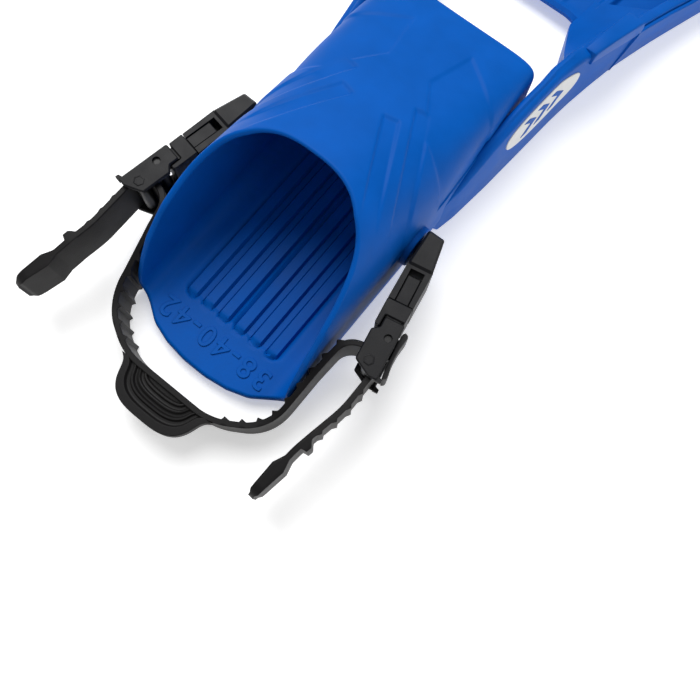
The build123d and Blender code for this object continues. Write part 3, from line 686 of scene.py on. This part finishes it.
def beam_block(side):
    """Raised block on the beam's root, over the joint with the arm: an upright rounded section along Y."""
    y = np.array([221.0, 221.8, 223.5, 235, 248, 254, 256.4, 257.4])
    low = np.array([38.0, 38, 38, 36, 34, 33, 33, 33])
    top = np.array([43.5, 45.6, 46.4, 45.8, 44.6, 43.8, 43.0, 39.0])
    inner = np.interp(y, [221, 258], [55.8, 61.8])
    outer = np.interp(y, [221, 240, 258], [62.9, 67.6, 72.4])
    quarter = np.linspace(0, pi / 2, 5)
    turns = np.concatenate([quarter + k * pi / 2 for k in range(4)])
    cx = np.repeat([1, -1, -1, 1], 5)
    cz = np.repeat([1, 1, -1, -1], 5)
    r = 1.3
    mid = ((inner + outer) / 2)[:, None]
    x = mid + cx * (((outer - inner) / 2)[:, None] - r) + r * np.cos(turns)
    centre = ((top + low) / 2)[:, None]
    half = ((top - low) / 2)[:, None]
    z = centre + cz * (half - r) + r * np.sin(turns)
    grid = np.stack([x, np.repeat(y[:, None], 20, 1), z], -1)
    return tube(mirrored(grid, side))


def corner_web(side):
    """Sloping web between the arm's inner wall and the blade's root.

    Its top is ruled between a near edge and a far edge, each a straight line from the blade to the arm;
    the near edge sags by a half sine.
    """
    a = np.linspace(0, 1, 25)[:, None, None]
    b = np.linspace(0, 1, 33)[None, :, None]
    near = np.array([35.5, 257.0, 12.0]) * (1 - b) + np.array([51.5, 209.0, 44.5]) * b
    near = near - np.array([0, 0, 3.0]) * np.sin(pi * b)
    far = np.array([38.0, 278.0, 12.0]) * (1 - b) + np.array([72.5, 284.0, 26.0]) * b
    top = near * (1 - a) + far * a
    bottom = top.copy()
    shallow = PANEL_BOTTOM + 0.35 * (top[..., 2] - PANEL_BOTTOM)
    bottom[..., 2] = np.minimum(top[..., 2] - 1.5, shallow)
    return plate(mirrored(top, side), mirrored(bottom, side))


# ---- strap shapes ---------------------------------------------------------------------
def strap_route(side):
    """Centre line of one strap half, drawn for the right side: heel, loop, round the roller, tail."""
    wrap = ROLLER_R + 1.8
    tail_x = ROLLER_X + wrap
    entry = ROLLER_Y + wrap
    points = [(0.0, HEEL_LOOP_Y), (27.0, HEEL_LOOP_Y), (51.0, -29.0), (53.5, 5.0)]
    points += [(56.0, entry), (tail_x, entry)]
    if side > 0:
        points += [(tail_x, -1.0), (tail_x - 5.5, -28.0), (tail_x - 8.66, -57.5)]
    else:
        points += [(tail_x, -6.0), (tail_x + 3.5, -28.0), (tail_x + 9.36, -51.4)]
    radii = [34.0, 26.0, 60.0, 11.0, wrap, 60.0, 60.0]
    return rounded_route(np.array(points), radii, ROUTE_STEP)


def tooth_wedge(place):
    """Height share of a tooth row: a steep rise, then a fall twice as long, once in each whole step."""
    phase = (place + 0.5) % 1 - 0.5
    rising = (-0.07 - phase) / 0.14
    falling = (phase + 0.07) / 0.28
    return np.clip(1 - np.where(phase < -0.07, rising, falling), 0, 1)


def strap_half(side, tooth, pitch):
    """Strap half: an upright rounded section carried along the route.

    The foot side rises in wedges, one each pitch; near the tip both sides swell into the finger grip.
    """
    route, at = strap_route(side)
    run = np.gradient(route, axis=0)
    run = run / np.linalg.norm(run, axis=1, keepdims=True)
    left = np.stack([-run[:, 1], run[:, 0]], 1)
    bend = at[np.argmax(route[:, 0] > ROLLER_X + 2)]
    left_over = at[-1] - at
    wedge = tooth_wedge((at - 34.0) / pitch)
    on_loop = (at > 31.5) & (at < min(106.0, bend - 12))
    tail_wedge = tooth_wedge((at - bend - 19.0) / pitch)
    on_tail = (at > bend + 16) & (at < bend + 16 + 4 * pitch) & (left_over > 34)
    tail_tooth = 0.65 if side > 0 else 0.3
    foot_side = STRAP_HALF_THICKNESS + tooth * (wedge * on_loop + tail_tooth * tail_wedge * on_tail)
    grip = np.interp(left_over, [0.0, 0.4, 3.0, 18.0, 24.0], [0.5, 0.9, 2.5, 3.5, 1.5])
    lug = LUG_HEIGHT * ease((left_over - 31) / 1.2) * ease((38 - left_over) / 3.5)
    near = np.maximum(foot_side + lug, grip)
    far = np.maximum(STRAP_HALF_THICKNESS, grip)
    y = route[:, 1]
    on_loop_side = at < bend - 4
    level = STUD_Z - STRAP_HEIGHT / 2
    loop_low = level * ease((y + 34) / 60)
    tail_low = level - 6 * np.clip((-20 - y) / 60, 0, 1)
    low = np.where(on_loop_side, loop_low, tail_low)
    pinch = 6.0 * (1 - np.sqrt(1 - np.clip((7.5 - left_over) / 7.5, 0, 0.98) ** 2))
    high = low + STRAP_HEIGHT - pinch
    low = low + pinch
    step_in = np.array([0.03, 0.12, 0.3, 0.5, 0.7, 0.88, 0.97])
    climb = np.array([0.02, 0.05, 0.5, 0.95, 0.98])
    p = np.concatenate([np.zeros(5), step_in, np.ones(5), step_in[::-1]])
    q = np.concatenate([climb, [0.992], np.ones(5), [0.992], climb[::-1], [0.008], np.zeros(5), [0.008]])
    offset = -far[:, None] + (near + far)[:, None] * p
    plan = route[:, None, :] + left[:, None, :] * offset[..., None]
    z = low[:, None] + (high - low)[:, None] * q
    return tube(mirrored(np.concatenate([plan, z[..., None]], -1), side))


def pull_tab(ridge):
    """Heel pull tab: rings that grow from a short core on the strap to a tongue-shaped outline.

    The top falls inside a thick rim and rises again in three nested ridges; the underside is flat.
    """
    turn = np.linspace(0, pi, 81)
    base = HEEL_LOOP_Y - 0.4
    reach = base - (STRAP_LOW[1] + 0.2)
    drop = reach * np.sin(turn) ** 0.78
    out = 24.0 * np.abs(np.cos(turn)) ** 0.62 + 5.0 * np.exp(-drop / 2.5) * np.abs(np.cos(turn))
    outline = np.stack([out * np.sign(np.cos(turn)), base - drop], -1)
    core = np.stack([9.0 * np.cos(turn), np.full_like(turn, base)], -1)
    share = np.linspace(0, 0.97, 46)
    depth = np.zeros_like(share)
    for middle in (0.22, 0.40, 0.58):
        depth = np.maximum(depth, ridge * ease(1.5 - np.abs(share - middle) / 0.042))
    rim = ease((share - 0.72) / 0.06)
    top_z = STRAP_HEIGHT - 1.9 + np.maximum(depth, 1.9 * rim)
    loop_share = np.concatenate([share, [0.99, 1.0, 1.0, 0.99, 0.95, 0.6, 0.2]])
    edge_z = [STRAP_HEIGHT - 0.3, STRAP_HEIGHT - 1.0, 17.2, 16.2, 15.6, 15.5, 15.5]
    loop_z = np.concatenate([top_z, edge_z])
    plan = core[:, None] + (outline - core)[:, None] * loop_share[None, :, None]
    z = np.broadcast_to(loop_z, plan.shape[:2])
    return tube(np.concatenate([plan, z[..., None]], -1))


# ---- buckle shapes ------------------------------------------------------------------------
def by_lever_pin(back, out, up):
    """Points at distances back along the buckle, outwards and up from the right lever pin's middle."""
    x = LEVER_PIN_X + back * sin(BUCKLE_TURN) + out * cos(BUCKLE_TURN)
    y = LEVER_PIN_Y - back * cos(BUCKLE_TURN) + out * sin(BUCKLE_TURN)
    return np.stack(np.broadcast_arrays(x, y, STUD_Z + up), -1)


def lever_plate(back, outer, inner, half, crown):
    """Closed plate between an outer and an inner curve, the outer one rounded off at both side edges."""
    along = np.linspace(back[0], back[-1], 90)[:, None]
    up = np.concatenate([[-1, -0.985, -0.94], np.linspace(-0.88, 0.88, 12), [0.94, 0.985, 1]])[None, :]
    soft = crown * np.abs(up) ** 16
    top = by_lever_pin(along, np.interp(along, back, outer) - soft, up * half)
    bottom = by_lever_pin(along, np.interp(along, back, inner) + 0.5 * soft, up * half)
    return top, bottom


def lever(side):
    """Release lever: a grip with a thumb swell and a lipped tail, a hub round its pin, and a pawl."""
    grip_back = np.array([-7.6, -7.5, -7.1, -6.2, -3.6, 0.4, 5.4, 9.9, 13.2, 15.2, 16.2, 16.7, 16.8])
    grip_outer = np.array([6.1, 6.9, 7.6, 7.9, 7.6, 7.0, 6.8, 7.1, 7.7, 7.9, 7.6, 6.9, 6.3])
    grip_inner = np.array([5.9, 5.5, 5.0, 4.6, 4.5, 4.5, 4.6, 4.8, 5.0, 5.2, 5.5, 5.9, 6.2])
    pawl_back = np.array([-2.6, -1.4, 1.4, 4.0, 6.2, 6.8])
    pawl_outer = np.array([4.9, 4.9, 4.9, 4.4, 2.8, 2.1])
    pawl_inner = np.array([1.2, -0.9, -1.9, -0.8, 0.6, 1.6])
    grip = lever_plate(grip_back, grip_outer, grip_inner, LEVER_HALF, 0.7)
    pawl = lever_plate(pawl_back, pawl_outer, pawl_inner, LEVER_HALF - 0.6, 0.3)
    turn = np.linspace(0, 2 * pi, 40, endpoint=False)
    ends = np.array([-LEVER_HALF, LEVER_HALF])[:, None]
    hub = by_lever_pin(HUB_R * np.cos(turn)[None, :], HUB_R * np.sin(turn)[None, :], ends)
    return several([plate(*(mirrored(g, side) for g in grip)), plate(*(mirrored(g, side) for g in pawl)),
                    tube(mirrored(hub, side))])


def pin_heads(side):
    """Six-sided heads of the roller pin, one on each cheek: rings of a low bevelled plate."""
    turn = np.linspace(0, 2 * pi, 49)[:-1]
    flats = cos(pi / 6) / np.cos((turn % (pi / 3)) - pi / 6)
    radius = np.array([2.9, 2.9, 2.65, 2.3, 2.15, 1.0])[:, None] * flats
    rise = np.array([-0.6, 0.18, 0.32, 0.32, 0.1, 0.1])[:, None]
    heads = []
    for way in (1, -1):
        x = ROLLER_X + radius * np.cos(turn)
        y = ROLLER_Y + radius * np.sin(turn)
        z = STUD_Z + way * (CHEEK_TOP - STUD_Z + rise)
        heads.append(tube(mirrored(np.stack(np.broadcast_arrays(x, y, z), -1), side)))
    return several(heads)


# ---- sizes and colours a user would change ------------------------------------------------
class FinSizes(bpy.types.PropertyGroup):
    """Depths of the moulded detail."""

    bar_height: bpy.props.FloatProperty(
        name="Instep bar height", description="How far the instep bars stand up",
        default=0.001, min=0.0, max=0.003, precision=5, unit="LENGTH", subtype="DISTANCE")
    rib_height: bpy.props.FloatProperty(
        name="Footbed rib height", description="How far the footbed ribs stand up",
        default=0.0011, min=0.0, max=0.003, precision=5, unit="LENGTH", subtype="DISTANCE")
    numeral_height: bpy.props.FloatProperty(
        name="Numeral height", description="Height of the size numerals on the heel",
        default=0.0115, min=0.005, max=0.02, precision=4, unit="LENGTH", subtype="DISTANCE")
    channel_height: bpy.props.FloatProperty(
        name="Blade rib height", description="How far the blade ribs stand up",
        default=0.003, min=0.0, max=0.006, precision=5, unit="LENGTH", subtype="DISTANCE")
    tooth_height: bpy.props.FloatProperty(
        name="Tooth height", description="How far the strap teeth stand out",
        default=0.0018, min=0.0, max=0.003, precision=5, unit="LENGTH", subtype="DISTANCE")
    tooth_pitch: bpy.props.FloatProperty(
        name="Tooth pitch", description="Distance from one strap tooth to the next",
        default=0.0087, min=0.004, max=0.02, precision=5, unit="LENGTH", subtype="DISTANCE")
    ridge_height: bpy.props.FloatProperty(
        name="Tab ridge height", description="How far the pull tab ridges stand up",
        default=0.0013, min=0.0, max=0.003, precision=5, unit="LENGTH", subtype="DISTANCE")


class FinColours(bpy.types.PropertyGroup):
    """Base colours of the finishes."""

    pocket_blue: bpy.props.FloatVectorProperty(
        name="Pocket blue", description="Colour of the pocket and blade",
        default=linear("#005bbb"), size=3, min=0.0, max=1.0, subtype="COLOR")
    strap_black: bpy.props.FloatVectorProperty(
        name="Strap black", description="Colour of the strap rubber",
        default=linear("#171617"), size=3, min=0.0, max=1.0, subtype="COLOR")
    buckle_grey: bpy.props.FloatVectorProperty(
        name="Buckle grey", description="Colour of the buckle plastic",
        default=linear("#1e1e20"), size=3, min=0.0, max=1.0, subtype="COLOR")


class FinStudio(bpy.types.PropertyGroup):
    """Lamps and lens."""

    lens: bpy.props.FloatProperty(
        name="Lens", description="Focal length of the camera", default=36.23, min=10.0, max=200.0)
    lamp_power: bpy.props.FloatProperty(
        name="Lamp power", description="Power of the main soft lamp in watts",
        default=11.0, min=0.0, max=500.0)
    sky: bpy.props.FloatProperty(
        name="Room light", description="Strength of the even light all round",
        default=0.30, min=0.0, max=5.0)
    paper_glow: bpy.props.FloatProperty(
        name="Paper glow", description="Light that the paper floor gives off of its own",
        default=0.42, min=0.0, max=5.0)


# ---- operators ---------------------------------------------------------------------------
class FIN_OT_foot_pocket(bpy.types.Operator):
    """Make the pocket shell with its rim, footbed ribs, instep bars, bosses and treads"""

    bl_idname = "fin.foot_pocket"
    bl_label = "Foot pocket"

    def execute(self, context):
        sizes = context.scene.fin_sizes
        blue = finish("moulded_blue_rubber")
        shell = pocket_shell(sizes.bar_height / MM, sizes.rib_height / MM)
        shoe = make_piece("pocket_shell", *shell, blue, "root", "pocket_rubber", sharp=50.0)
        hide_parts("foot_pocket")
        for name, side in SIDES.items():
            make_piece(name + "_boss", *boss_grid(side), blue, "root", "pocket_rubber")
        treads = several([tread_bar(TREAD_PITCH * k) for k in range(8)])
        make_piece("treads", *treads, blue, "root", "pocket_rubber")
        return {"FINISHED"}


class FIN_OT_size_numerals(bpy.types.Operator):
    """Make the raised size numerals on the heel of the footbed"""

    bl_idname = "fin.size_numerals"
    bl_label = "Size numerals"

    def execute(self, context):
        height = context.scene.fin_sizes.numeral_height
        text = bpy.data.curves.new("size_numerals", "FONT")
        text.body = "38-40-42"
        text.size = height * NUMERAL_SCALE
        text.extrude = 0.0004
        text.bevel_depth = 0.00025
        text.bevel_resolution = 1
        text.align_x = "CENTER"
        text.align_y = "CENTER"
        text.space_character = 1.22
        letters = bpy.data.objects.new("size_numerals", text)
        mesh = bpy.data.meshes.new_from_object(letters)
        bpy.data.objects.remove(letters)
        place = Matrix.Translation((0, NUMERALS_Y * MM, (FOOTBED_Z + 0.15) * MM))
        mesh.transform(place @ Matrix.Rotation(pi, 4, "Z"))
        mesh.materials.clear()
        mesh.materials.append(finish("moulded_blue_rubber"))
        piece = bpy.data.objects.new("size_numerals", mesh)
        context.scene.collection.objects.link(piece)
        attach(piece, "root")
        return {"FINISHED"}


class FIN_OT_side_arms(bpy.types.Operator):
    """Make the two side arms with their plain white markers"""

    bl_idname = "fin.side_arms"
    bl_label = "Side arms"

    def execute(self, context):
        blue = finish("moulded_blue_rubber")
        white = finish("printed_white_ink")
        for name, side in SIDES.items():
            make_piece(name + "_arm", *arm_grid(side), blue, "root", "pocket_rubber")
            patch = marker(side, MARKER_CENTRE, MARKER_SIZE, 0.6)
            make_piece(name + "_marker", *patch, white, "root", "pocket_rubber")
            bars = [chevron(side, y, MARKER_CENTRE[1], 7.0, 12.0, 4.5, 0.85) for y in BAR_PLACES]
            make_piece(name + "_marker_bars", *several(bars), blue, "root", "pocket_rubber")
        return {"FINISHED"}


class FIN_OT_blade(bpy.types.Operator):
    """Make the blade panel, side beams, root blocks and corner webs"""

    bl_idname = "fin.blade"
    bl_label = "Blade"

    def execute(self, context):
        blue = finish("moulded_blue_polypropylene")
        channel = context.scene.fin_sizes.channel_height / MM
        panel = make_piece("blade_panel", *blade_panel(channel, 5), blue, "root", "blade_plastic")
        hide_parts("blade")
        for name, side in SIDES.items():
            beam = edge_tube(side, 2.4, 9.0, 0.0, 1.6, BEAM_START)
            make_piece(name + "_beam", *beam, blue, "root", "blade_plastic")
            make_piece(name + "_block", *beam_block(side), blue, "root", "blade_plastic")
            make_piece(name + "_web", *corner_web(side), blue, "root", "blade_plastic")
        return {"FINISHED"}


class FIN_OT_edge_rails(bpy.types.Operator):
    """Make the soft rails along the blade's edges"""

    bl_idname = "fin.edge_rails"
    bl_label = "Edge rails"

    def execute(self, context):
        blue = finish("moulded_blue_rubber")
        for name, side in SIDES.items():
            rail = edge_tube(side, 0.0, 2.5, 1.5, 1.0, BEAM_START)
            piece = make_piece(name + "_rail", *rail, blue, "root", "rail_rubber")
            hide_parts(name + "_edge_rail")
        return {"FINISHED"}


class FIN_OT_heel_strap(bpy.types.Operator):
    """Make the two strap halves with teeth, lugs and grips, and the heel pull tab"""

    bl_idname = "fin.heel_strap"
    bl_label = "Heel strap"

    def execute(self, context):
        sizes = context.scene.fin_sizes
        black = finish("moulded_black_rubber")
        for name, side in SIDES.items():
            half = strap_half(side, sizes.tooth_height / MM, sizes.tooth_pitch / MM)
            piece = make_piece(name + "_strap", *half, black, None, "strap_rubber", sharp=28.0)
            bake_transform(piece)
        tab = make_piece("pull_tab", *pull_tab(sizes.ridge_height / MM), black, "strap", "strap_rubber")
        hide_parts("heel_strap")
        return {"FINISHED"}


class FIN_OT_buckles(bpy.types.Operator):
    """Make the release levers and pin heads, and give the buckle parts their finishes"""

    bl_idname = "fin.buckles"
    bl_label = "Buckles"

    def execute(self, context):
        finishes = {"buckle_plastic": "textured_grey_acetal", "pin_plastic": "satin_black_acetal",
                    "spring_steel": "drawn_stainless_wire"}
        grey = finish("textured_grey_acetal")
        for name, side in SIDES.items():
            arm = make_piece(name + "_lever_shape", *lever(side), grey,
                             name + "_release_lever", "buckle_plastic")
            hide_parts(name + "_lever")
            make_piece(name + "_pin_heads", *pin_heads(side), grey, name + "_frame", "buckle_plastic")
        slots = {part["node"]: part["material_slot"] for part in frame["record"]["subparts"]}
        for node, part in frame["nodes"].items():
            if slots[node] in finishes:
                part.data.materials.clear()
                part.data.materials.append(finish(finishes[slots[node]]))
        return {"FINISHED"}


class FIN_OT_studio(bpy.types.Operator):
    """Make the floor, soft lamps and camera"""

    bl_idname = "fin.studio"
    bl_label = "Studio"

    def execute(self, context):
        studio = context.scene.fin_studio
        scene = context.scene
        scene.view_settings.view_transform = "Standard"
        paper = moulded("studio_paper", linear("#f7f7f7"), linear("#f2f2f2"), 0.9, 3.0, 0.02, cloud=200.0)
        mesh = bpy.data.meshes.new("floor")
        mesh.from_pydata([(-4, -4, 0), (4, -4, 0), (4, 4, 0), (-4, 4, 0)], [], [(0, 1, 2, 3)])
        mesh.materials.append(paper)
        for node in paper.node_tree.nodes:
            if node.type == "BSDF_PRINCIPLED":
                node.inputs["Emission Color"].default_value = (1, 1, 1, 1)
                node.inputs["Emission Strength"].default_value = studio.paper_glow
        floor = bpy.data.objects.new("floor", mesh)
        scene.collection.objects.link(floor)
        world = bpy.data.worlds.new("studio_room")
        scene.world = world
        world.use_nodes = True
        world.node_tree.nodes["Background"].inputs["Color"].default_value = (1, 1, 1, 1)
        world.node_tree.nodes["Background"].inputs["Strength"].default_value = studio.sky
        lamps = (
            ("main_lamp", MAIN_LAMP_PLACE, MAIN_LAMP_SIZE, studio.lamp_power),
            ("fill_lamp", FILL_LAMP_PLACE, FILL_LAMP_SIZE, studio.lamp_power * FILL_SHARE),
        )
        for name, place, size, power in lamps:
            light = bpy.data.lights.new(name, "AREA")
            light.shape = "DISK"
            light.size = size
            light.energy = power
            lamp = bpy.data.objects.new(name, light)
            lamp.location = place
            aim = Vector(LAMP_AIM) - Vector(place)
            lamp.rotation_euler = aim.to_track_quat("-Z", "Y").to_euler()
            scene.collection.objects.link(lamp)
        self.add_camera(scene, studio.lens)
        return {"FINISHED"}

    def add_camera(self, scene, lens):
        """Camera turned by azimuth and height, then rolled about its own line of sight."""
        azimuth, height, roll = CAMERA_TURN
        ahead = Vector((-sin(azimuth), cos(azimuth), 0))
        across = Vector((cos(azimuth), sin(azimuth), 0))
        sight = ahead * cos(height) - Vector((0, 0, 1)) * sin(height)
        upright = ahead * sin(height) + Vector((0, 0, 1)) * cos(height)
        right = across * cos(roll) + upright * sin(roll)
        up = upright * cos(roll) - across * sin(roll)
        data = bpy.data.cameras.new("camera")
        data.lens = lens
        data.sensor_width = 36.0
        data.clip_start = 0.01
        camera = bpy.data.objects.new("camera", data)
        turn = Matrix((right, up, -sight)).transposed().to_4x4()
        camera.matrix_world = Matrix.Translation(CAMERA_PLACE) @ turn
        scene.collection.objects.link(camera)
        scene.camera = camera


OPERATORS = (
    FIN_OT_studio, FIN_OT_foot_pocket, FIN_OT_size_numerals, FIN_OT_side_arms, FIN_OT_blade,
    FIN_OT_edge_rails, FIN_OT_heel_strap, FIN_OT_buckles,
)


class FIN_PT_pieces(bpy.types.Panel):
    """Sizes, colours and pieces of the swim fin"""

    bl_idname = "FIN_PT_pieces"
    bl_label = "Swim fin"
    bl_space_type = "VIEW_3D"
    bl_region_type = "UI"
    bl_category = "Swim fin"

    def draw(self, context):
        for group in (context.scene.fin_sizes, context.scene.fin_colours, context.scene.fin_studio):
            for key in group.__annotations__:
                self.layout.prop(group, key)
        for operator in OPERATORS:
            self.layout.operator(operator.bl_idname)


CLASSES = (FinSizes, FinColours, FinStudio) + OPERATORS + (FIN_PT_pieces,)


def register():
    """Register the classes and give the scene its settings."""
    for item in CLASSES:
        bpy.utils.register_class(item)
    bpy.types.Scene.fin_sizes = bpy.props.PointerProperty(type=FinSizes)
    bpy.types.Scene.fin_colours = bpy.props.PointerProperty(type=FinColours)
    bpy.types.Scene.fin_studio = bpy.props.PointerProperty(type=FinStudio)


def unregister():
    """Take the settings and classes away again."""
    del bpy.types.Scene.fin_sizes
    del bpy.types.Scene.fin_colours
    del bpy.types.Scene.fin_studio
    for item in reversed(CLASSES):
        bpy.utils.unregister_class(item)


def main():
    """Make every piece in order."""
    register()
    bpy.ops.fin.studio()
    bpy.ops.fin.foot_pocket()
    bpy.ops.fin.size_numerals()
    bpy.ops.fin.side_arms()
    bpy.ops.fin.blade()
    bpy.ops.fin.edge_rails()
    bpy.ops.fin.heel_strap()
    bpy.ops.fin.buckles()


if __name__ == "__main__":
    main()
